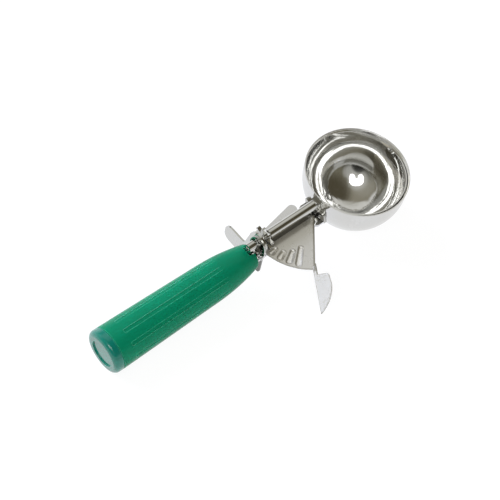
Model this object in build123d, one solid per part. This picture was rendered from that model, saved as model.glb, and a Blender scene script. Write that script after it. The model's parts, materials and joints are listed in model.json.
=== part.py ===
"""Thumb-lever ice cream scoop (disher): a bowl, a moulded handle, a toothed pinion on a long rod,
and a fluted sector lever that turns the rod and sweeps a scraper blade round the bowl.

Frame: +X runs from the handle's end to the bowl, +Z is the way the bowl opens, +Y is the side
away from the thumb lever. The origin is the centre of the round seat in the handle's end.
All sizes are in millimetres.
"""
from build123d import *
import math
import os

# ---- handle -------------------------------------------------------------------------------
handle_length = 108.6          # seat in the end cap to the nose of the grip
cap_length = 5.0               # seam between the end cap and the grip
cap_rim_height = 0.8           # how far the cap's rim stands behind the seat
cap_edge_radius = 3.0
seat_radius = 8.5
grip_rear_radius = 13.8
grip_waist_radius = 12.5
grip_waist_x = 76.0            # where the straight taper turns into the rounded nose
grip_nose_radius = 8.0
nose_edge_radius = 1.8
seam_chamfer = 0.35
core_radius = 9.0              # round core inside the grip, closed by the cap's plug
core_end_x = 62.0
plug_length = 10.0
plug_wall = 2.0
groove_count = 10
groove_turn_deg = 6.0          # the first groove's place, from the top towards the lever's side
groove_width = 2.4
groove_depth = 0.3
groove_start_x = 13.0
groove_end_x = 92.0
groove_corner_radius = 0.6

# ---- frame: plate, bolster, bearing -------------------------------------------------------
rod_height = 12.0              # rod axis above the handle axis
tang_width = 12.0
tang_start_x = 56.0
tang_corner_radius = 3.0
tang_thickness = 2.0
tang_fit = 0.1                 # clearance round the tang in the grip
under_lever_gap = 2.4          # from the frame plate up to the lever plate
bolster_gap = 3.2              # from the grip's nose to the bolster
bolster_thickness = 1.2
bolster_arch_radius = 7.4
bolster_arch_y = -0.5          # the arch's centre from the rod axis
bolster_arch_z = -0.5
bolster_foot_y = 9.8
bolster_waist_y = -6.3         # the lever's side narrows from the arch down to here
bolster_waist_z = -1.5
bolster_drop = 14.6            # below the handle axis
bolster_hole_radius = 2.3
collar_ring_y = -1.4           # oval ring on the bolster's rear face, centre from the rod axis
collar_ring_z = -2.1
collar_ring_half_width = 6.2   # outside
collar_ring_half_height = 7.6
collar_ring_tilt_deg = 10.0
collar_ring_wall = 0.8
collar_ring_height = 0.9
hook_reach = 26.3              # the finger hook's tip on the +Y side
hook_top_z = -1.2
hook_corner_radius = 5.0
corner_radius = 2.0
flare_setback = -1.0           # the plate widens to the saddle from just behind the pivot
tongue_length = 22.0
tongue_half_width = 3.2
tongue_root_y = 5.5
tongue_tip_y = 9.6
tongue_tip_setback = 1.8       # behind the lever's pivot
bearing_radius = 2.8
bearing_length = 5.0
bearing_foot_width = 4.2
bearing_setback = 2.6          # from the bearing's front to the bolster
notch_clearance = 0.3

# ---- rod, pinion and sector ---------------------------------------------------------------
rod_radius = 1.5
running_fit = 0.05             # radial clearance of every turning fit
tooth_count = 8
flute_pitch_deg = 9.5          # one tooth of the pinion to one flute of the sector
sector_radius = 37.4
mesh_depth = 3.2               # from the sector's edge in to the pinion
sector_clearance = 1.0         # from the sector's edge to the bolster
tooth_tip_radius = 7.5
tooth_tip_width = 1.4
tooth_tip_round = 0.45
tooth_flank_deg = 12.0
pinion_thickness = 2.4
pinion_hub_radius = 3.0
pinion_hub_length = 1.5
collar_radius = 2.6
collar_length = 1.2
collar_gap = 0.2

# ---- thumb lever --------------------------------------------------------------------------
lever_thickness = 1.0
pitch_drop = 0.4              # the sector's top face above the pinion's pitch circle
hub_radius = 5.4
sector_near_deg = 178.0        # the sector's two sides, counted from +X
sector_far_deg = 237.5
flute_start_deg = 3.75         # the first flute's angle past the line of the shaft
flute_inner_radii = (30.0, 29.6, 28.6, 25.4, 21.6)
flute_outer_radius = 36.6
flute_outer_radius_across = 2.9   # radius of the groove's section at its outer end
flute_inner_radius_across = 1.8
flute_outer_rise = 1.85         # the section's centre above the sector's face
flute_inner_rise = 0.5
paddle_deg = 237.7             # direction of the paddle's fold line
paddle_fold_offset = 1.0
paddle_tilt_deg = 35.0
neck_width = 1.9
neck_start = 33.5
neck_end = 43.0
paddle_start = 41.6
paddle_shoulder = 43.1
paddle_shoulder_width = 9.1
paddle_width = 9.7
paddle_widest = 50.5
paddle_tip = 67.0
paddle_corner_radius = 1.8

# ---- pivot, spring, stop ------------------------------------------------------------------
pivot_radius = 1.5
pivot_head_radius = 2.0
pivot_head_height = 0.8
pivot_foot_radius = 3.2
pivot_foot_height = 0.8
spacer_radius = 3.0
spring_wire_radius = 0.55
spring_loop_radius = 4.4
spring_fixed_leg = 15.0
spring_free_leg = 13.0
spring_free_deg = 214.0
post_setback = 14.0            # from the pivot to the post
post_radius = 1.1
post_head_radius = 1.7
post_head_height = 0.5
stop_radius = 1.1
stop_clearance = 0.1
stop_along = 2.2               # from the hub along the lever's far side

# ---- channel, saddle and bowl -------------------------------------------------------------
channel_width = 6.0
channel_wall = 0.9
channel_cover = 3.5            # metal above the rod axis
channel_gap = 0.4              # above the lever plate
channel_corner_radius = 2.9
channel_rear_gap = 0.4         # from the pinion's hub
pivot_to_bowl = 7.05           # from the lever's pivot to the bowl's wall
bowl_radius = 31.75            # inside
bowl_wall = 0.8
bowl_collar = 7.0              # straight wall above the hemisphere
rim_edge_radius = 0.35
saddle_thickness = 1.6
saddle_half_width = 8.5
saddle_top = -3.0              # from the rod axis
saddle_bottom = -15.0
bush_radius = 2.0
bush_length = 4.2

# ---- scraper blade ------------------------------------------------------------------------
blade_gap = 0.4
blade_thickness = 0.8
blade_width = 9.0
blade_hub_radius = 4.6
blade_park_deg = 3.0           # the blade's middle above the rod axis when it rests
rod_end_stub = 0.9             # rod past the blade's inside
far_pivot_radius = 1.4
far_head_radius = 2.6
far_head_height = 0.9
far_cap_height = 0.5

# ---- positions that follow ----------------------------------------------------------------
gear_ratio = 360.0 / tooth_count / flute_pitch_deg
mesh_radius = sector_radius - mesh_depth
pitch_radius = mesh_radius / gear_ratio
lever_top = rod_height - pitch_radius + pitch_drop
lever_bottom = lever_top - lever_thickness
plate_top = lever_bottom - under_lever_gap
plate_bottom = plate_top - tang_thickness
bolster_x = handle_length + bolster_gap
bolster_front = bolster_x + bolster_thickness
pivot_x = bolster_front + sector_clearance + sector_radius
pinion_x = pivot_x - mesh_radius
bowl_outer_radius = bowl_radius + bowl_wall
bowl_x = pivot_x + pivot_to_bowl + bowl_outer_radius
saddle_radius = bowl_outer_radius + saddle_thickness
bearing_front = bolster_x - bearing_setback
bearing_rear = bearing_front - bearing_length
channel_bottom = lever_top + channel_gap
channel_top = rod_height + channel_cover
channel_rear = pinion_x + pinion_thickness / 2 + pinion_hub_length + channel_rear_gap
blade_outer_radius = bowl_radius - blade_gap
blade_inner_radius = blade_outer_radius - blade_thickness
rod_front = bowl_x - blade_inner_radius + rod_end_stub
rod_rear = bearing_rear + bearing_length / 4
taper_deg = math.degrees(math.atan2(grip_rear_radius - grip_waist_radius, grip_waist_x - cap_length))
far_reach = 2 * (bowl_outer_radius + handle_length)   # longer than any cut needs to be


def block(x0, x1, y0, y1, z0, z1):
    """A box given by its two corners."""
    return Pos((x0 + x1) / 2, (y0 + y1) / 2, (z0 + z1) / 2) * Box(x1 - x0, y1 - y0, z1 - z0)


def along_x(radius, x0, x1, y=0.0, z=0.0):
    """A cylinder parallel to X."""
    return Pos((x0 + x1) / 2, y, z) * Rot(0, 90, 0) * Cylinder(radius, x1 - x0)


def along_z(radius, z0, z1, x, y=0.0):
    """A cylinder parallel to Z."""
    return Pos(x, y, (z0 + z1) / 2) * Cylinder(radius, z1 - z0)


def polar(radius, degrees):
    """A point round the lever's pivot, seen from above."""
    angle = math.radians(degrees)
    return (pivot_x + radius * math.cos(angle), radius * math.sin(angle))


def turned(profile_edges):
    """A solid turned round X from an outline in the XY plane."""
    return revolve(make_face(Wire(profile_edges)), Axis.X)


# ---- handle -------------------------------------------------------------------------------
def grip_radius(x):
    """Radius of the grip on its straight taper."""
    return grip_rear_radius - (x - cap_length) * math.tan(math.radians(taper_deg))


def make_handle_grip():
    rear_edge = grip_rear_radius - seam_chamfer
    outline = [
        Line((cap_length, 0), (cap_length, rear_edge)),
        Line((cap_length, rear_edge), (cap_length + seam_chamfer, grip_radius(cap_length + seam_chamfer))),
        Line((cap_length + seam_chamfer, grip_radius(cap_length + seam_chamfer)),
             (grip_waist_x, grip_waist_radius)),
        TangentArc((grip_waist_x, grip_waist_radius), (handle_length, grip_nose_radius),
                   tangent=(math.cos(math.radians(taper_deg)), -math.sin(math.radians(taper_deg)))),
        Line((handle_length, grip_nose_radius), (handle_length, 0)),
        Line((handle_length, 0), (cap_length, 0)),
    ]
    grip = turned(outline)
    nose_edge = grip.edges().filter_by(GeomType.CIRCLE).sort_by(Axis.X)[-1]
    grip = fillet(nose_edge, nose_edge_radius)
    groove_length = groove_end_x - groove_start_x
    groove_middle = (groove_start_x + groove_end_x) / 2
    shape = extrude(RectangleRounded(groove_length, groove_width, groove_corner_radius), 4 * groove_depth)
    groove = Pos(groove_middle, 0, grip_radius(groove_middle) - groove_depth) * Rot(0, taper_deg, 0) * shape
    for index in range(groove_count):
        grip -= Rot(groove_turn_deg + 360.0 * index / groove_count, 0, 0) * groove
    grip -= along_x(core_radius, cap_length, core_end_x)
    half_slot = tang_width / 2 + tang_fit
    grip -= block(core_end_x - tang_fit, handle_length, -half_slot, half_slot,
                  plate_bottom - tang_fit, plate_top + tang_fit)
    half_notch = bearing_radius + notch_clearance
    grip -= block(bearing_rear - notch_clearance, handle_length, -half_notch, half_notch,
                  plate_top, rod_height)
    return grip


def make_end_cap():
    rear = -cap_rim_height
    cap = along_x(grip_rear_radius, rear, cap_length)
    cap = fillet(cap.edges().sort_by(Axis.X)[0], cap_edge_radius)
    cap = chamfer(cap.edges().filter_by(GeomType.CIRCLE).sort_by(Axis.X)[-1], seam_chamfer)
    cap -= along_x(seat_radius, rear, 0)
    cap += along_x(core_radius, cap_length, cap_length + plug_length)
    cap -= along_x(core_radius - plug_wall, cap_length, cap_length + plug_length)
    return cap


# ---- frame --------------------------------------------------------------------------------
def bowl_body(radius):
    """A filled hemisphere with its straight collar, grown to a radius."""
    outline = [
        ThreePointArc((0, -radius), (radius * math.sqrt(0.5), -radius * math.sqrt(0.5)), (radius, 0)),
        Line((radius, 0), (radius, bowl_collar)),
        Line((radius, bowl_collar), (0, bowl_collar)),
        Line((0, bowl_collar), (0, -radius)),
    ]
    return Pos(bowl_x, 0, rod_height) * revolve(Plane.XZ * make_face(Wire(outline)), Axis.Z)


def make_frame_plate():
    """Tang, body and side tongue, stamped from one flat plate."""
    plate = block(tang_start_x, bowl_x, -tang_width / 2, tang_width / 2, plate_bottom, plate_top)
    tail_edges = plate.edges().filter_by(Axis.Z).sort_by(Axis.X)[:2]
    plate = fillet(tail_edges, tang_corner_radius)
    tip_x = pivot_x - tongue_tip_setback
    root_x = tip_x - tongue_length
    run = math.hypot(tongue_length, tongue_tip_y - tongue_root_y)
    slope = math.degrees(math.atan2(tongue_tip_y - tongue_root_y, tongue_length))
    tongue = extrude(SlotCenterToCenter(run, 2 * tongue_half_width), tang_thickness)
    plate += Pos((root_x + tip_x) / 2, (tongue_root_y + tongue_tip_y) / 2, plate_bottom) * Rot(0, 0, slope) * tongue
    flare_start = pivot_x + flare_setback
    flare_end = flare_start + 2 * (saddle_half_width - tang_width / 2)
    flare = Polygon((flare_start, -tang_width / 2), (flare_end, -saddle_half_width), (bowl_x, -saddle_half_width),
                    (bowl_x, saddle_half_width), (flare_end, saddle_half_width), (flare_start, tang_width / 2),
                    align=None)
    plate += Pos(0, 0, plate_bottom) * extrude(flare, tang_thickness)
    plate -= bowl_body(saddle_radius)
    plate -= along_z(pivot_radius, plate_bottom, plate_top, pivot_x)
    plate -= along_z(post_radius, plate_bottom, plate_top, *spring_post_place())
    plate -= along_z(stop_radius, plate_bottom, plate_top, *stop_place())
    return plate


def make_bolster_plate():
    """Upright plate in front of the grip: an arch round the rod and a finger hook at one side."""
    arch = bolster_arch_radius
    arch_z = rod_height + bolster_arch_z
    body = Polygon((bolster_arch_y - arch, arch_z), (bolster_waist_y, bolster_waist_z),
                   (bolster_waist_y, -bolster_drop), (hook_reach, -bolster_drop), (hook_reach, hook_top_z),
                   (bolster_foot_y, hook_top_z), (bolster_arch_y + arch, arch_z), align=None)
    low_corner = body.vertices().sort_by_distance((bolster_waist_y, -bolster_drop))[0]
    inner_corner = body.vertices().sort_by_distance((bolster_foot_y, hook_top_z))[0]
    body = fillet([low_corner, inner_corner], corner_radius)
    body = fillet(body.vertices().group_by(Axis.X)[-1], hook_corner_radius)
    body += Pos(bolster_arch_y, arch_z) * Circle(arch)
    body -= Pos(0, rod_height) * Circle(bolster_hole_radius)
    stand = Plane(origin=(bolster_x, 0, 0), x_dir=(0, 1, 0), z_dir=(1, 0, 0))
    plate = stand * extrude(body, bolster_thickness)
    wall = collar_ring_wall
    ring = Ellipse(collar_ring_half_width, collar_ring_half_height)
    ring -= Ellipse(collar_ring_half_width - wall, collar_ring_half_height - wall)
    ring = Pos(collar_ring_y, rod_height + collar_ring_z) * Rot(0, 0, collar_ring_tilt_deg) * ring
    plate += stand * extrude(ring, -collar_ring_height)
    plate -= block(bolster_x - collar_ring_height, bolster_front, -tang_width / 2, tang_width / 2,
                   plate_bottom, plate_top)
    return plate


def make_rear_bearing():
    """Sleeve for the rod's rear end, on a narrower foot that stands on the frame plate."""
    bearing = along_x(bearing_radius, bearing_rear, bearing_front, 0, rod_height)
    half_foot = bearing_foot_width / 2
    bearing += block(bearing_rear, bearing_front, -half_foot, half_foot, plate_top, rod_height)
    return bearing - along_x(rod_radius + running_fit, bearing_rear, bearing_front, 0, rod_height)


def make_shaft_channel():
    """Inverted channel over the rod, from the pinion to the saddle."""
    half = channel_width / 2
    outer = block(channel_rear, bowl_x, -half, half, channel_bottom, channel_top)
    outer = fillet(outer.edges().filter_by(Axis.X).sort_by(Axis.Z)[-2:], channel_corner_radius)
    inner_half = half - channel_wall
    inner = block(channel_rear, bowl_x, -inner_half, inner_half, channel_bottom, channel_top - channel_wall)
    inner = fillet(inner.edges().filter_by(Axis.X).sort_by(Axis.Z)[-2:], channel_corner_radius - channel_wall)
    return outer - inner - bowl_body(saddle_radius)


def make_saddle_bracket():
    """Curved strap welded to the bowl, which carries the channel and the frame plate."""
    wide = block(bowl_x - saddle_radius, bowl_x, -saddle_half_width, saddle_half_width,
                 rod_height + saddle_bottom, rod_height + saddle_top)
    wide = fillet(wide.edges().filter_by(Axis.X), corner_radius)
    tall = block(bowl_x - saddle_radius, bowl_x, -channel_width / 2, channel_width / 2,
                 rod_height + saddle_bottom, channel_top)
    strap = (wide + tall) & bowl_body(saddle_radius)
    strap -= bowl_body(bowl_outer_radius)
    near_wall = block(bowl_x - saddle_radius, bowl_x - bowl_outer_radius / 2, -bowl_radius, bowl_radius,
                      rod_height + saddle_bottom, channel_top)
    strap &= near_wall
    return strap - along_x(bush_radius, bowl_x - saddle_radius, bowl_x, 0, rod_height)


def make_front_bush():
    front = bowl_x - bowl_radius
    bush = along_x(bush_radius, front - bush_length, front, 0, rod_height)
    bush -= along_x(rod_radius + running_fit, front - bush_length, front, 0, rod_height)
    return bush


# ---- bowl and blade -----------------------------------------------------------------------
def make_bowl():
    bowl = bowl_body(bowl_outer_radius) - bowl_body(bowl_radius)
    inner_rim = bowl.edges().filter_by(GeomType.CIRCLE).group_by(Axis.Z)[-1].sort_by(SortBy.RADIUS)[0]
    bowl = fillet(inner_rim, rim_edge_radius)
    bowl -= along_x(bush_radius, bowl_x - far_reach / 2, bowl_x, 0, rod_height)
    bowl -= along_x(far_pivot_radius, bowl_x, bowl_x + far_reach / 2, 0, rod_height)
    return bowl


def make_blade_pivot():
    inner_x = bowl_x + math.sqrt(blade_inner_radius ** 2 - far_head_radius ** 2) - running_fit
    outer_x = bowl_x + bowl_outer_radius
    pin = along_x(far_pivot_radius, inner_x, outer_x, 0, rod_height)
    pin += along_x(far_head_radius, inner_x - far_head_height, inner_x, 0, rod_height)
    head = along_x(far_head_radius, bowl_x + bowl_radius, outer_x + far_cap_height, 0, rod_height)
    pin += head - bowl_body(bowl_outer_radius)
    return pin


def make_scraper_blade():
    """Curved strip from pole to pole; it is parked on the lever's side, close under the rim."""
    shell = Sphere(blade_outer_radius) - Sphere(blade_inner_radius)
    strip = block(-bowl_radius, bowl_radius, -bowl_radius, 0, -blade_width / 2, blade_width / 2)
    hubs = along_x(blade_hub_radius, -bowl_radius, bowl_radius)
    blade = shell & (strip + hubs)
    blade -= along_x(rod_radius, -bowl_radius, 0)
    blade -= along_x(far_pivot_radius + running_fit, 0, bowl_radius)
    return Pos(bowl_x, 0, rod_height) * Rot(-blade_park_deg, 0, 0) * blade


# ---- rod and pinion -----------------------------------------------------------------------
def make_drive_rod():
    return along_x(rod_radius, rod_rear, rod_front, 0, rod_height)


def make_pinion():
    """Star of slim teeth with round ends that run in the sector's flutes."""
    half_tip = tooth_tip_width / 2
    root = pinion_hub_radius
    half_root = half_tip + (tooth_tip_radius - root) * math.tan(math.radians(tooth_flank_deg))
    half_pitch = math.radians(180.0 / tooth_count)
    tooth = Polygon((0, 0), (-half_root, -root), (-half_tip, -tooth_tip_radius),
                    (half_tip, -tooth_tip_radius), (half_root, -root), align=None)
    tooth = fillet(tooth.vertices().sort_by(Axis.Y)[:2], tooth_tip_round)
    sector_edge = far_reach * math.sin(half_pitch)
    wedge = Polygon((0, 0), (-sector_edge, -far_reach * math.cos(half_pitch)),
                    (sector_edge, -far_reach * math.cos(half_pitch)), align=None)
    tooth = tooth & wedge
    first_tooth_deg = -flute_start_deg * gear_ratio
    star = Rot(0, 0, first_tooth_deg) * tooth
    for index in range(1, tooth_count):
        star += Rot(0, 0, first_tooth_deg + 360.0 * index / tooth_count) * tooth
    star -= Circle(rod_radius)
    face = Plane(origin=(pinion_x - pinion_thickness / 2, 0, rod_height), x_dir=(0, 1, 0), z_dir=(1, 0, 0))
    return face * extrude(star, pinion_thickness)


def make_pinion_hub():
    rear = pinion_x + pinion_thickness / 2
    hub = along_x(pinion_hub_radius, rear, rear + pinion_hub_length, 0, rod_height)
    return hub - along_x(rod_radius, rear, rear + pinion_hub_length, 0, rod_height)


def make_rod_collar():
    rear = bolster_front + collar_gap
    collar = along_x(collar_radius, rear, rear + collar_length, 0, rod_height)
    return collar - along_x(rod_radius, rear, rear + collar_length, 0, rod_height)


# ---- lever --------------------------------------------------------------------------------
def sector_face():
    """Plan of the lever's fluted sector: a hub circle, two tangent sides and a round edge."""
    tangent_deg = math.degrees(math.acos(hub_radius / sector_radius))
    near_corner = polar(sector_radius, sector_near_deg)
    far_corner = polar(sector_radius, sector_far_deg)
    near_hub = polar(hub_radius, sector_near_deg - tangent_deg)
    far_hub = polar(hub_radius, sector_far_deg + tangent_deg)
    edge_middle = polar(sector_radius, (sector_near_deg + sector_far_deg) / 2)
    hub_middle = polar(hub_radius, (sector_near_deg + sector_far_deg) / 2 + 180)
    outline = [
        Line(far_hub, far_corner),
        ThreePointArc(far_corner, edge_middle, near_corner),
        Line(near_corner, near_hub),
        ThreePointArc(near_hub, hub_middle, far_hub),
    ]
    return make_face(Wire(outline))


def flute(inner_radius, degrees, growth):
    """A groove with round ends along a radius of the sector, wide and shallow at the outer end."""
    inner = flute_inner_radius_across
    outer = flute_outer_radius_across
    start = inner_radius + math.sqrt(inner ** 2 - flute_inner_rise ** 2)
    end = flute_outer_radius - math.sqrt(outer ** 2 - flute_outer_rise ** 2)
    run = math.hypot(end - start, flute_outer_rise - flute_inner_rise)
    climb = math.degrees(math.atan2(flute_outer_rise - flute_inner_rise, end - start))
    inner += growth
    outer += growth
    diagonal = math.sqrt(0.5)
    shape = turned([
        ThreePointArc((-inner, 0), (-inner * diagonal, inner * diagonal), (0, inner)),
        Line((0, inner), (run, outer)),
        ThreePointArc((run, outer), (run + outer * diagonal, outer * diagonal), (run + outer, 0)),
        Line((run + outer, 0), (-inner, 0)),
    ])
    seat = Pos(pivot_x, 0, lever_top + flute_inner_rise) * Rot(0, 0, degrees) * Pos(start, 0, 0)
    return seat * Rot(0, -climb, 0) * shape


def flute_places():
    for index, inner_radius in enumerate(flute_inner_radii):
        yield inner_radius, 180 + flute_start_deg + index * flute_pitch_deg


def paddle_plane(tilt):
    """Plane of the thumb paddle: local X runs outwards on the fold, local Y towards the free edge."""
    angle = math.radians(paddle_deg)
    outwards = Vector(math.cos(angle), math.sin(angle), 0)
    sideways = Vector(-math.sin(angle), math.cos(angle), 0)
    origin = Vector(pivot_x, 0, lever_bottom) - sideways * paddle_fold_offset
    return Plane(origin=origin, x_dir=outwards, z_dir=(0, 0, 1)) * Rot(tilt, 0, 0)


def make_thumb_lever():
    plate = Pos(0, 0, lever_bottom) * extrude(sector_face(), lever_thickness)
    keep = block(bolster_front, bowl_x, -far_reach, far_reach, lever_bottom - far_reach, lever_top)
    for inner_radius, degrees in flute_places():
        plate += flute(inner_radius, degrees, lever_thickness) & keep
    for inner_radius, degrees in flute_places():
        plate -= flute(inner_radius, degrees, 0)
    neck = Polygon((neck_start, 0), (neck_end, 0), (neck_end, neck_width), (neck_start, neck_width), align=None)
    plate += paddle_plane(0) * extrude(neck, lever_thickness)
    paddle = make_face(Wire([
        Line((neck_start + neck_width, 0), (paddle_tip, 0)),
        ThreePointArc((paddle_tip, 0), (paddle_tip * 0.55 + paddle_widest * 0.45, paddle_width * 0.72),
                      (paddle_widest, paddle_width)),
        Line((paddle_widest, paddle_width), (paddle_shoulder, paddle_shoulder_width)),
        Line((paddle_shoulder, paddle_shoulder_width), (paddle_start, neck_width)),
        Line((paddle_start, neck_width), (neck_start + neck_width, neck_width)),
        Line((neck_start + neck_width, neck_width), (neck_start + neck_width, 0)),
    ]))
    shoulder = paddle.vertices().sort_by_distance((paddle_shoulder, paddle_shoulder_width, 0))[0]
    paddle = fillet(shoulder, paddle_corner_radius)
    plate += paddle_plane(paddle_tilt_deg) * extrude(paddle, lever_thickness)
    plate -= along_z(pivot_radius + running_fit, lever_bottom, lever_top, pivot_x)
    return plate


def make_lever_rivet():
    rivet = along_z(pivot_radius, plate_bottom, lever_top + running_fit, pivot_x)
    rivet += along_z(pivot_head_radius, lever_top + running_fit, lever_top + pivot_head_height, pivot_x)
    rivet += along_z(pivot_foot_radius, plate_bottom - pivot_foot_height, plate_bottom, pivot_x)
    return rivet


def make_lever_spacer():
    top = lever_bottom - running_fit
    return along_z(spacer_radius, plate_top, top, pivot_x) - along_z(pivot_radius, plate_top, top, pivot_x)


# ---- return spring, its post and the lever's stop -----------------------------------------
def spring_post_place():
    """The post stands against the outside of the spring's fixed leg."""
    return (pivot_x - post_setback, spring_loop_radius + spring_wire_radius + post_radius)


def stop_place():
    """The stop stands against the lever's far side, a little way out from the hub."""
    tangent_deg = math.degrees(math.acos(hub_radius / sector_radius))
    normal = math.radians(sector_far_deg + tangent_deg)
    offset = hub_radius + stop_radius + stop_clearance
    x = pivot_x + offset * math.cos(normal) + stop_along * math.sin(normal)
    y = offset * math.sin(normal) - stop_along * math.cos(normal)
    return (x, y)


def make_spring_post():
    x, y = spring_post_place()
    post = along_z(post_radius, plate_bottom, lever_bottom - 4 * running_fit, x, y)
    return post + along_z(post_head_radius, plate_bottom - post_head_height, plate_bottom, x, y)


def make_lever_stop():
    x, y = stop_place()
    stop = along_z(stop_radius, plate_bottom, lever_top, x, y)
    return stop + along_z(post_head_radius, plate_bottom - post_head_height, plate_bottom, x, y)


def make_return_spring():
    """Hairpin of round wire: one leg on the frame's post, the other under the lever."""
    z = (plate_top + lever_bottom) / 2
    radius = spring_loop_radius
    free = math.radians(spring_free_deg)
    free_start = (pivot_x + radius * math.cos(free + math.pi / 2), radius * math.sin(free + math.pi / 2))
    free_end = (free_start[0] + spring_free_leg * math.cos(free), free_start[1] + spring_free_leg * math.sin(free))
    fixed_end = (pivot_x - spring_fixed_leg, radius)
    bend_middle = math.radians((spring_free_deg + 90 + 360 + 90) / 2)
    middle = (pivot_x + radius * math.cos(bend_middle), radius * math.sin(bend_middle))
    path = Wire([
        Line((*fixed_end, z), (pivot_x, radius, z)),
        ThreePointArc((pivot_x, radius, z), (*middle, z), (*free_start, z)),
        Line((*free_start, z), (*free_end, z)),
    ])
    section = Plane(origin=(*fixed_end, z), z_dir=(1, 0, 0)) * Circle(spring_wire_radius)
    return sweep(section, path=path)


parts = {
    "handle_grip": make_handle_grip,
    "end_cap": make_end_cap,
    "frame_plate": make_frame_plate,
    "bolster_plate": make_bolster_plate,
    "rear_bearing": make_rear_bearing,
    "shaft_channel": make_shaft_channel,
    "saddle_bracket": make_saddle_bracket,
    "front_bush": make_front_bush,
    "bowl": make_bowl,
    "blade_pivot": make_blade_pivot,
    "scraper_blade": make_scraper_blade,
    "drive_rod": make_drive_rod,
    "pinion": make_pinion,
    "pinion_hub": make_pinion_hub,
    "rod_collar": make_rod_collar,
    "thumb_lever": make_thumb_lever,
    "lever_rivet": make_lever_rivet,
    "lever_spacer": make_lever_spacer,
    "lever_stop": make_lever_stop,
    "spring_post": make_spring_post,
    "return_spring": make_return_spring,
}

os.makedirs("parts", exist_ok=True)
for node, make in parts.items():
    export_step(make(), os.path.join("parts", node + ".step"))
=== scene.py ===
"""Looks of the ice cream scoop: materials for the CAD nodes, the studio and the camera.

Metres, in the frame of the CAD: +X along the handle to the bowl, +Z the way the bowl opens.
"""
import bpy
import json
import math
from mathutils import Matrix, Vector

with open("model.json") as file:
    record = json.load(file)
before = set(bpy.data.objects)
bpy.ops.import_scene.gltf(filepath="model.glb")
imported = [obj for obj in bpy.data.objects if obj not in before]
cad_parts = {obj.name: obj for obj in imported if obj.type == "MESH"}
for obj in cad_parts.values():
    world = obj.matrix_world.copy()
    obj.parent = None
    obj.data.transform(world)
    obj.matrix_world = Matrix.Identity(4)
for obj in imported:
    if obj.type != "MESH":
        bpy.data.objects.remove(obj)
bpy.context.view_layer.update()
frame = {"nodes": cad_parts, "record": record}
nodes = frame["nodes"]
scene = bpy.context.scene
scene.view_settings.view_transform = "Standard"

# ---- sizes of the scoop that the masks and the floor follow -------------------------------
rod_height = 0.012
pivot_x = 0.1514                # upright axis that the lever turns on
sector_radius = 0.0374          # the lever's fluted sector
sector_top = 0.00518            # its upper face
lever_side = 0.0054             # from the pivot to the lever's side that faces the bowl
bowl_radius = 0.03255           # outside
bowl_centre = Vector((0.191, 0.0, rod_height))
rim_height = 0.019
handle_radius = 0.0138          # where the handle is thickest, near its end
handle_rear_x = 0.002           # where it rests on the floor


def axes_at(right, up, back, place):
    """The matrix of an object with these three axes at a place."""
    return Matrix.Translation(place) @ Matrix((right, up, back)).transposed().to_4x4()


# ---- camera -------------------------------------------------------------------------------
camera_place = Vector((-0.215942, -0.252667, 0.657471))
camera_right = Vector((0.758039, -0.639538, 0.127933))
camera_up = Vector((0.498732, 0.694801, 0.518188))
camera_back = Vector((-0.420289, -0.329003, 0.845644))
camera_data = bpy.data.cameras.new("camera")
camera_data.sensor_width = 36.0
camera_data.lens = 94.38
camera_data.clip_start = 0.01
camera_data.clip_end = 50.0
camera = bpy.data.objects.new("camera", camera_data)
scene.collection.objects.link(camera)
camera.matrix_world = axes_at(camera_right, camera_up, camera_back, camera_place)
scene.camera = camera


# ---- colours and nodes --------------------------------------------------------------------
def linear(red, green, blue):
    """A linear colour, as nodes take it."""
    return (red, green, blue, 1.0)


def srgb(red, green, blue):
    """A colour written as on screen, 0 to 255, as the linear colour that nodes take."""
    parts = [c / 255.0 for c in (red, green, blue)]
    return linear(*(c / 12.92 if c <= 0.04045 else ((c + 0.055) / 1.055) ** 2.4 for c in parts))


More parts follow.
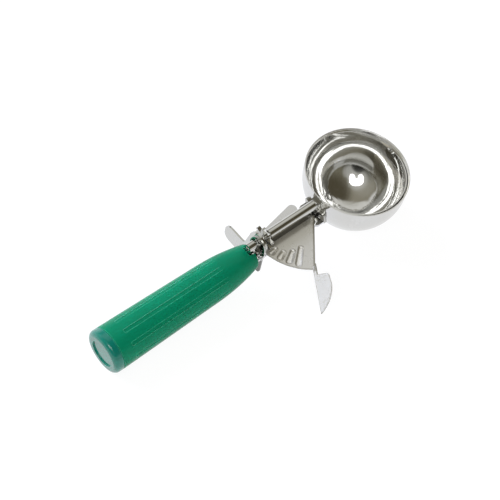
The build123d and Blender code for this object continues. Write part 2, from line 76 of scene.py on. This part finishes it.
class Graph:
    """A material's or world's node tree, with short calls for nodes and links."""

    def __init__(self, tree):
        self.tree = tree
        tree.nodes.clear()

    def node(self, kind, **settings):
        made = self.tree.nodes.new(kind)
        for name, value in settings.items():
            setattr(made, name, value)
        return made

    def link(self, source, target):
        self.tree.links.new(source, target)

    def put(self, target, value):
        if isinstance(value, bpy.types.NodeSocket):
            self.link(value, target)
        else:
            target.default_value = value

    def math(self, operation, first, second=0.0, clamp=False):
        made = self.node("ShaderNodeMath", operation=operation, use_clamp=clamp)
        self.put(made.inputs[0], first)
        self.put(made.inputs[1], second)
        return made.outputs[0]

    def add(self, first, second):
        return self.math("ADD", first, second)

    def multiply(self, first, second):
        return self.math("MULTIPLY", first, second)

    def hypotenuse(self, first, second):
        return self.math("SQRT", self.add(self.multiply(first, first), self.multiply(second, second)))

    def dot(self, first, second):
        made = self.node("ShaderNodeVectorMath", operation="DOT_PRODUCT")
        self.put(made.inputs[0], first)
        self.put(made.inputs[1], second)
        return made.outputs["Value"]

    def split(self, vector):
        made = self.node("ShaderNodeSeparateXYZ")
        self.link(vector, made.inputs[0])
        return made.outputs[0], made.outputs[1], made.outputs[2]

    def combine(self, x=0.0, y=0.0, z=0.0):
        made = self.node("ShaderNodeCombineXYZ")
        for socket, value in zip(made.inputs, (x, y, z)):
            self.put(socket, value)
        return made.outputs[0]

    def ramp(self, value, low, high, out_low=0.0, out_high=1.0, smooth=True):
        made = self.node("ShaderNodeMapRange", interpolation_type="SMOOTHSTEP" if smooth else "LINEAR")
        for name, given in (("Value", value), ("From Min", low), ("From Max", high),
                            ("To Min", out_low), ("To Max", out_high)):
            self.put(made.inputs[name], given)
        return made.outputs[0]

    def mix(self, factor, first, second):
        made = self.node("ShaderNodeMix", data_type="RGBA")
        self.put(made.inputs[0], factor)
        self.put(made.inputs[6], first)
        self.put(made.inputs[7], second)
        return made.outputs[2]

    def noise(self, vector, scale, detail, roughness):
        made = self.node("ShaderNodeTexNoise")
        for name, given in (("Vector", vector), ("Scale", scale), ("Detail", detail),
                            ("Roughness", roughness)):
            self.put(made.inputs[name], given)
        return made.outputs[0]

    def bump(self, height, distance, strength=1.0, under=None):
        made = self.node("ShaderNodeBump")
        self.put(made.inputs["Height"], height)
        self.put(made.inputs["Distance"], distance)
        self.put(made.inputs["Strength"], strength)
        if under is not None:
            self.put(made.inputs["Normal"], under)
        return made.outputs[0]

    def place(self):
        """A point's place in its object's own frame, which is the CAD's for the scoop's pieces."""
        return self.node("ShaderNodeTexCoord").outputs["Object"]

    def true_normal(self):
        """Normal of the face itself, without shading or bumps."""
        return self.node("ShaderNodeNewGeometry").outputs["True Normal"]

    def blend(self, share, first, second):
        """Two shaders mixed, with this share of the second."""
        made = self.node("ShaderNodeMixShader")
        self.put(made.inputs[0], share)
        self.link(first.outputs[0], made.inputs[1])
        self.link(second.outputs[0], made.inputs[2])
        return made

    def show(self, shader, output="ShaderNodeOutputMaterial"):
        self.link(shader.outputs[0], self.node(output).inputs[0])


def new_material(name):
    """A material with an empty node tree, and the tree's graph."""
    made = bpy.data.materials.new(name)
    made.use_nodes = True
    return made, Graph(made.node_tree)


def from_axis(graph, x):
    """A point's place measured from the upright axis at x, and its distance from that axis."""
    from_origin, across, height = graph.split(graph.place())
    along = graph.math("SUBTRACT", from_origin, x)
    return along, across, height, graph.hypotenuse(along, across)


# ---- masks on steel -----------------------------------------------------------------------
bowlward = (0.757, -0.653, 0.0)         # square to the lever's side that faces the bowl
far_side = (0.583, 0.813, 0.0)          # side of the bowl away from the lever
scuffed_side = (0.90, -0.44, 0.0)       # side of the bowl that has matte scuffs
# Painted shade: a near-black colour that the shade masks lay on steel.
painted_shade_colour = linear(0.07, 0.07, 0.06)
# Painted highlight: a brighter tint for the lever's flutes.
flute_highlight_tint = linear(0.93, 0.93, 0.92)
# Painted highlight: a brighter tint for the upper inside of the bowl.
rim_highlight_tint = linear(0.95, 0.95, 0.94)
scuff_tint = linear(0.88, 0.80, 0.58)
tarnish = linear(0.76, 0.68, 0.48)


def sheet_edge(graph, radius=0.0005):
    """Mask that is 1 on edges, and fades out over a radius from them."""
    rounded = graph.node("ShaderNodeBevel")
    rounded.inputs["Radius"].default_value = radius
    turn = graph.dot(rounded.outputs[0], graph.true_normal())
    return graph.ramp(turn, 0.999, 0.86)


def on_sector(graph, radius):
    """Mask that is 1 on the lever's sector and 0 on its neck and paddle."""
    return graph.ramp(radius, sector_radius + 0.0011, sector_radius + 0.0021, 1.0, 0.0)


def lever_flutes(graph):
    """The flutes pressed into the lever's sector, below its upper face."""
    height, radius = from_axis(graph, pivot_x)[2:]
    return graph.multiply(graph.ramp(height, sector_top - 0.00013, sector_top - 0.00048),
                          on_sector(graph, radius))


def lever_edge(graph):
    """Mask of the painted shade on the lever: its sheet edges, a line along its arc, and what faces the
    bowl:
    one side of the sector and one wall of each flute."""
    along, across, height, radius = from_axis(graph, pivot_x)
    sector = on_sector(graph, radius)
    beyond = graph.add(graph.multiply(along, bowlward[0]), graph.multiply(across, bowlward[1]))
    side = graph.multiply(graph.ramp(beyond, lever_side - 0.0013, lever_side - 0.0008), sector)
    lean = graph.ramp(graph.dot(graph.true_normal(), bowlward), 0.28, 0.45)
    wall = graph.multiply(lean, graph.ramp(height, sector_top - 0.00003, sector_top - 0.00018))
    side = graph.math("MAXIMUM", side, graph.multiply(wall, sector))
    off_arc = graph.math("ABSOLUTE", graph.math("SUBTRACT", radius, sector_radius))
    arc = graph.multiply(graph.ramp(off_arc, 0.0001, 0.0005, 1.0, 0.0), 0.55)
    return graph.math("MAXIMUM", graph.math("MAXIMUM", side, arc), sheet_edge(graph, 0.0007))


def channel_skirt(graph):
    """The sides of the channel, below its round back, where shade is painted."""
    height = graph.split(graph.place())[2]
    return graph.ramp(height, rod_height + 0.0002, rod_height - 0.0008)


def bolster_foot(graph):
    """The lower lobe of the bolster, on the lever's side of the rod, where shade is painted."""
    across, height = graph.split(graph.place())[1:]
    return graph.multiply(graph.ramp(height, 0.0010, -0.0020), graph.ramp(across, -0.0020, -0.0040))


def bowl_inside(graph, colour, wave, hazed):
    """Changes the look of steel inside the bowl, and gives the share that its scuffs take of the gloss.

    The upper part is brighter, a painted highlight, and hazier and wavier, less so on the far side.
    Streaks from spinning meet in the middle, the lip leans in under the rim, and matte scuffs lie on one
    side."""
    along, across, height, radius = from_axis(graph, bowl_centre.x)
    below = graph.math("MINIMUM", graph.math("SUBTRACT", height, bowl_centre.z), 0.0)
    shell = graph.hypotenuse(radius, below)
    inside = graph.ramp(shell, bowl_radius - 0.0005, bowl_radius - 0.0003, 1.0, 0.0)
    near_rim = graph.multiply(graph.ramp(height, rod_height - 0.018, rod_height), inside)
    turn = (graph.math("DIVIDE", along, radius), graph.math("DIVIDE", across, radius))
    spoke = graph.combine(*turn)

    # Painted highlight: the upper inside, less so on the far side, gets a brighter tint.
    rim_highlight = graph.multiply(near_rim, graph.ramp(graph.dot(spoke, far_side), 0.55, 0.92, 1.0, 0.25))
    colour = graph.mix(rim_highlight, colour, rim_highlight_tint)
    hazed = graph.add(hazed, graph.multiply(rim_highlight, 0.4))

    wave = graph.multiply(wave, graph.add(1.0, graph.multiply(near_rim, 1.6)))
    streak = graph.multiply(graph.noise(spoke, scale=3.5, detail=2.0, roughness=0.5),
                            graph.math("MINIMUM", radius, 0.006))
    wave = graph.add(wave, graph.multiply(streak, 28.0))
    lip = graph.multiply(graph.ramp(height, rim_height - 0.003, rim_height, 0.0, -4.5), inside)
    wave = graph.add(wave, lip)

    hoop = graph.combine(*turn, graph.multiply(height, 110.0))
    scuff = graph.ramp(graph.noise(hoop, scale=1.6, detail=1.0, roughness=0.5), 0.47, 0.56, 0.0, 0.50)
    scuff = graph.multiply(scuff, graph.ramp(graph.dot(spoke, scuffed_side), 0.25, 0.65))
    return colour, wave, hazed, graph.multiply(scuff, near_rim)


# ---- materials ----------------------------------------------------------------------------
hazy_roughness = (0.26, 0.34)
edge_highlight_green = srgb(95, 190, 155)
painted_groove_light = srgb(140, 225, 195)


def steel(name, tint, roughness=(0.04, 0.08), haze=0.12, wave_depth=0.00002, painted_shade=None, dull=0.0,
          bowl=False):
    """Steel with smudges in its roughness, a fine grain, a faint waviness and a hazy second gloss.

    A painted-shade mask darkens the colour towards near black where shade falls, such as edges of sheet
    and the crevices beside the channel. Dull is the matte share of the lever's steel, whose flutes are
    brighter, a painted highlight. The bowl is changed inside only."""
    made, graph = new_material(name)
    sharp = graph.node("ShaderNodeBsdfPrincipled")
    place = graph.place()
    smudge = graph.noise(place, scale=140.0, detail=4.0, roughness=0.6)
    fine = graph.noise(place, scale=900.0, detail=3.0, roughness=0.6)
    worn = graph.add(graph.multiply(smudge, 0.7), graph.multiply(fine, 0.3))
    colour = graph.mix(smudge, linear(*(c * 0.97 for c in tint[:3])), tint)
    wave = graph.noise(place, scale=42.0, detail=0.0, roughness=0.4)
    hazed = graph.ramp(smudge, 0.3, 0.7, haze * 0.85, haze * 1.15)
    if dull:
        # Painted highlight: the flutes get a brighter tint.
        colour = graph.mix(lever_flutes(graph), colour, flute_highlight_tint)
    if painted_shade:
        # Painted shade: where the mask is 1, the colour goes most of the way to near black.
        colour = graph.mix(graph.multiply(painted_shade(graph), 0.85), colour, painted_shade_colour)
    if dull:
        matte_colour = graph.mix(0.5, colour, tarnish)
        matte_share = graph.ramp(worn, 0.3, 0.7, dull * 0.97, dull * 1.03)
    if bowl:
        colour, wave, hazed, matte_share = bowl_inside(graph, colour, wave, hazed)
        matte_colour = scuff_tint
    normal = graph.bump(fine, 0.000002, 0.25, under=graph.bump(wave, wave_depth))
    hazy = graph.node("ShaderNodeBsdfPrincipled")
    for lobe, (low, high) in ((sharp, roughness), (hazy, hazy_roughness)):
        lobe.inputs["Metallic"].default_value = 1.0
        graph.put(lobe.inputs["Base Color"], colour)
        graph.put(lobe.inputs["Roughness"], graph.ramp(worn, 0.35, 0.68, low, high))
        graph.put(lobe.inputs["Normal"], normal)
    look = graph.blend(hazed, sharp, hazy)
    if dull or bowl:
        matte = graph.node("ShaderNodeBsdfDiffuse")
        graph.put(matte.inputs["Color"], matte_colour)
        graph.put(matte.inputs["Normal"], normal)
        look = graph.blend(matte_share, look, matte)
    graph.show(look)
    return made


def groove_wall(graph):
    """Mask that is 1 on the walls of the handle's grooves that face down and to the lever's side, away
    from the key light, where painted light goes against their shade.
    """
    across, height = graph.split(graph.place())[1:]
    outward = graph.node("ShaderNodeVectorMath", operation="NORMALIZE")
    graph.link(graph.combine(y=across, z=height), outward.inputs[0])
    turned = graph.node("ShaderNodeVectorTransform", vector_type="NORMAL",
                        convert_from="WORLD", convert_to="OBJECT")
    graph.link(graph.true_normal(), turned.inputs[0])
    normal = turned.outputs[0]
    normal_along, normal_across, normal_up = graph.split(normal)
    away = graph.add(graph.multiply(normal_across, -0.83), graph.multiply(normal_up, -0.55))
    lengthwise = graph.ramp(graph.math("ABSOLUTE", normal_along), 0.35, 0.20)
    steep = graph.ramp(graph.dot(normal, outward.outputs[0]), 0.9, 0.6)
    return graph.multiply(steep, graph.multiply(graph.ramp(away, -0.1, 0.3), lengthwise))


def plastic(name, tint, shade, roughness, coat, edge_coat, coat_roughness, grooved=False):
    """Glossy moulded plastic: slow colour drift, fine orange peel, dull worn patches, and pale edges
    that are a painted highlight.

    The clear coat goes over to its edge value where the surface turns away. In the grooved plastic some
    light scatters below the surface, and the groove walls that face away from the key light get painted
    light, a paler colour."""
    made, graph = new_material(name)
    shader = graph.node("ShaderNodeBsdfPrincipled")
    place = graph.place()
    drift = graph.noise(place, scale=45.0, detail=3.0, roughness=0.55)
    colour = graph.mix(graph.ramp(drift, 0.3, 0.7), shade, tint)
    # Painted highlight: a paler green along edges.
    colour = graph.mix(graph.multiply(sheet_edge(graph, 0.0004), 0.6), colour, edge_highlight_green)
    if grooved:
        # Painted light: the groove walls in shade get a paler green.
        colour = graph.mix(graph.multiply(groove_wall(graph), 0.5), colour, painted_groove_light)
        shader.subsurface_method = "BURLEY"
        shader.inputs["Subsurface Weight"].default_value = 0.5
        shader.inputs["Subsurface Radius"].default_value = (0.7, 1.0, 0.8)
        shader.inputs["Subsurface Scale"].default_value = 0.001
    graph.put(shader.inputs["Base Color"], colour)
    rub = graph.noise(place, scale=160.0, detail=4.0, roughness=0.6)
    graph.put(shader.inputs["Roughness"], graph.ramp(rub, 0.3, 0.75, roughness, roughness + 0.06))
    peel = graph.noise(place, scale=700.0, detail=2.0, roughness=0.5)
    graph.put(shader.inputs["Normal"], graph.bump(peel, 0.00002, 0.4))
    shader.inputs["IOR"].default_value = 1.22
    facing = graph.node("ShaderNodeLayerWeight").outputs["Facing"]
    graph.put(shader.inputs["Coat Weight"], graph.ramp(facing, 0.55, 1.0, coat, edge_coat))
    shader.inputs["Coat Roughness"].default_value = coat_roughness
    graph.show(shader)
    return made


slot_finishes = {
    "green_plastic": plastic("green_plastic", srgb(0, 122, 83), srgb(0, 117, 79), roughness=0.40,
                             coat=0.06, edge_coat=0.42, coat_roughness=0.10, grooved=True),
    "cap_plastic": plastic("cap_plastic", srgb(2, 112, 90), srgb(0, 105, 84), roughness=0.12,
                           coat=1.0, edge_coat=0.42, coat_roughness=0.03),
    "polished_steel": steel("polished_steel", linear(0.63, 0.63, 0.61)),
    "bowl_steel": steel("bowl_steel", linear(0.71, 0.71, 0.70), roughness=(0.02, 0.05), haze=0.10,
                        wave_depth=0.00045, bowl=True),
    "blade_steel": steel("blade_steel", linear(0.63, 0.63, 0.62), wave_depth=0.00003),
    "satin_steel": steel("satin_steel", linear(0.70, 0.70, 0.70), roughness=(0.11, 0.16), haze=0.3,
                         wave_depth=0.00001, painted_shade=sheet_edge),
    "spring_steel": steel("spring_wire", linear(0.55, 0.55, 0.55), roughness=(0.18, 0.32), haze=0.2,
                          wave_depth=0.00001),
}
pinion_steel = steel("pinion_steel", linear(0.80, 0.80, 0.78), painted_shade=sheet_edge)
node_finishes = {
    "thumb_lever": steel("lever_steel", linear(0.61, 0.61, 0.59), roughness=(0.15, 0.22), haze=0.3,
                         wave_depth=0.00001, painted_shade=lever_edge, dull=0.45),
    "shaft_channel": steel("channel_steel", linear(0.63, 0.63, 0.61), painted_shade=channel_skirt),
    "frame_plate": steel("plate_steel", linear(0.76, 0.765, 0.785), roughness=(0.05, 0.09), haze=0.15),
    "bolster_plate": steel("bolster_steel", linear(0.63, 0.63, 0.61), painted_shade=bolster_foot),
    # Darker steel than the other parts: painted shade on the bracket.
    "saddle_bracket": steel("bracket_steel", linear(0.46, 0.455, 0.43), roughness=(0.05, 0.10),
                            haze=0.15, painted_shade=sheet_edge),
    "pinion": pinion_steel,
    "rod_collar": pinion_steel,
}
for part in frame["record"]["subparts"]:
    finish = node_finishes.get(part["node"], slot_finishes[part["material_slot"]])
    for material_slot in nodes[part["node"]].material_slots:
        material_slot.material = finish

# ---- floor, which the bowl and the handle's end rest on -----------------------------------
floor_pitch = math.asin((bowl_radius - handle_radius - bowl_centre.z) / (bowl_centre.x - handle_rear_x))
floor_drop = handle_rear_x * math.sin(floor_pitch) - handle_radius
floor_reach = 6.0
floor_corners = [(x * floor_reach, y * floor_reach, 0) for x, y in ((-1, -1), (1, -1), (1, 1), (-1, 1))]
floor_mesh = bpy.data.meshes.new("floor")
floor_mesh.from_pydata(floor_corners, [], [(0, 1, 2, 3)])
floor = bpy.data.objects.new("floor", floor_mesh)
scene.collection.objects.link(floor)
floor.rotation_euler = (0.0, floor_pitch, 0.0)
floor.location = Vector((math.sin(floor_pitch), 0.0, math.cos(floor_pitch))) * floor_drop

# White paper that glows for the camera and in mirrors, and is plain matte to all other light.
paper, graph = new_material("floor_paper")
path = graph.node("ShaderNodeLightPath")
to_camera = path.outputs["Is Camera Ray"]
seen = graph.math("ADD", to_camera, path.outputs["Is Glossy Ray"], clamp=True)
seen = graph.math("ADD", seen, path.outputs["Is Transmission Ray"], clamp=True)
matte = graph.node("ShaderNodeBsdfDiffuse")
fibre = graph.noise(graph.place(), scale=90.0, detail=4.0, roughness=0.6)
graph.put(matte.inputs["Color"], graph.mix(fibre, linear(0.80, 0.80, 0.80), linear(0.84, 0.84, 0.84)))
glow = graph.node("ShaderNodeEmission")
graph.put(glow.inputs["Strength"], graph.ramp(to_camera, 0.0, 1.0, 1.00, 1.09, smooth=False))
graph.show(graph.blend(graph.multiply(seen, 0.85), matte, glow))
floor_mesh.materials.append(paper)

# ---- surroundings: a pale sweep on the far side, a dim room overhead and behind -----------
world = bpy.data.worlds.new("studio")
scene.world = world
world.use_nodes = True
sky = Graph(world.node_tree)
direction = sky.node("ShaderNodeTexCoord").outputs["Generated"]


def toward(aim):
    """Cosine of the angle between the looked-up direction and an aim."""
    return sky.dot(direction, Vector(aim).normalized())


def layer(under, aim, start, full, colour, share=1.0):
    """A colour laid over what is under it, from nothing at one cosine from an aim to its full share at
    another."""
    return sky.mix(sky.ramp(toward(aim), start, full, 0.0, share), under, colour)


zenith = (0.0, 0.0, 1.0)
room = layer(srgb(118, 114, 97), (-0.1, 0.4, 0.9), 0.55, 1.0, srgb(148, 143, 127))
room = layer(room, (0.45, -0.35, 0.82), 0.72, 0.97, srgb(82, 76, 60))
room = layer(room, (-0.8, -0.5, 0.3), 0.62, 0.94, srgb(66, 64, 55))
# The next four stand round the lamps: a faint pale patch, a pale spot below, a halo and a dark patch.
room = layer(room, (-0.60, 0.06, 0.80), 0.80, 0.97, srgb(190, 189, 180), share=0.3)
room = layer(room, (-0.41, -0.61, 0.68), 0.94, 0.997, srgb(200, 200, 194), share=0.7)
room = layer(room, (-0.52, -0.195, 0.832), 0.88, 0.97, srgb(196, 195, 188), share=0.7)
room = layer(room, (-0.74, -0.51, 0.45), 0.950, 0.985, srgb(20, 19, 15), share=0.85)
horizon = sky.ramp(toward(zenith), 0.20, 0.40, 0.9, 0.0)
room = sky.mix(horizon, room, srgb(228, 227, 222))

sweep = layer(srgb(190, 188, 178), zenith, 0.95, 0.78, srgb(226, 225, 219))
sweep = layer(sweep, zenith, 0.66, 0.40, srgb(150, 148, 139))
sweep = layer(sweep, zenith, 0.30, 0.12, srgb(235, 234, 230))

around = layer(room, (0.72, 0.69, 0.0), 0.28, 0.40, sweep)
around = layer(around, (-0.35, 0.82, 0.46), 0.93, 0.98, linear(0.76, 0.76, 0.73))
around = sky.mix(sky.node("ShaderNodeLightPath").outputs["Is Camera Ray"], around, linear(1.0, 1.0, 1.0))
background = sky.node("ShaderNodeBackground")
sky.put(background.inputs["Color"], around)
sky.show(background, "ShaderNodeOutputWorld")

# ---- light --------------------------------------------------------------------------------
# Three oval lamps overlap in one notched patch that the steel mirrors. It does not mirror the key
# and the fill.
lit_point = Vector((0.11, 0.0, 0.0))
lamp_aim = (-0.47, -0.20, 0.86)
cool_white = (0.90, 1.0, 1.40)


def area_light(name, aim, distance, size, energy, shape="RECTANGLE", right=0.0, up=0.0):
    """A lamp that faces the scoop from an aim, level with the picture, or moved beside that place."""
    data = bpy.data.lights.new(name, "AREA")
    data.shape = shape
    data.size, data.size_y = size
    data.energy = energy
    made = bpy.data.objects.new(name, data)
    scene.collection.objects.link(made)
    out = Vector(aim).normalized()
    across = (camera_right - out * camera_right.dot(out)).normalized()
    upward = out.cross(across)
    place = lit_point + out * distance + across * right + upward * up
    made.matrix_world = axes_at(across, upward, out, place)
    return made


area_light("lamp_base", lamp_aim, distance=1.30, size=(0.78, 0.42), energy=1.80,
           shape="ELLIPSE", right=0.08, up=0.10)
area_light("lamp_left", lamp_aim, distance=1.29, size=(0.34, 0.44), energy=0.90,
           shape="ELLIPSE", right=0.33, up=-0.12)
area_light("lamp_right", lamp_aim, distance=1.28, size=(0.34, 0.46), energy=0.90,
           shape="ELLIPSE", right=-0.15, up=-0.10)
key = area_light("key", (-0.30, 0.79, 0.53), distance=1.3, size=(0.8, 0.8), energy=20.0)
fill = area_light("fill", (-0.30, -0.93, 0.16), distance=1.3, size=(0.8, 0.36), energy=6.5)
for light in (key, fill):
    light.visible_glossy = False
    light.data.color = cool_white
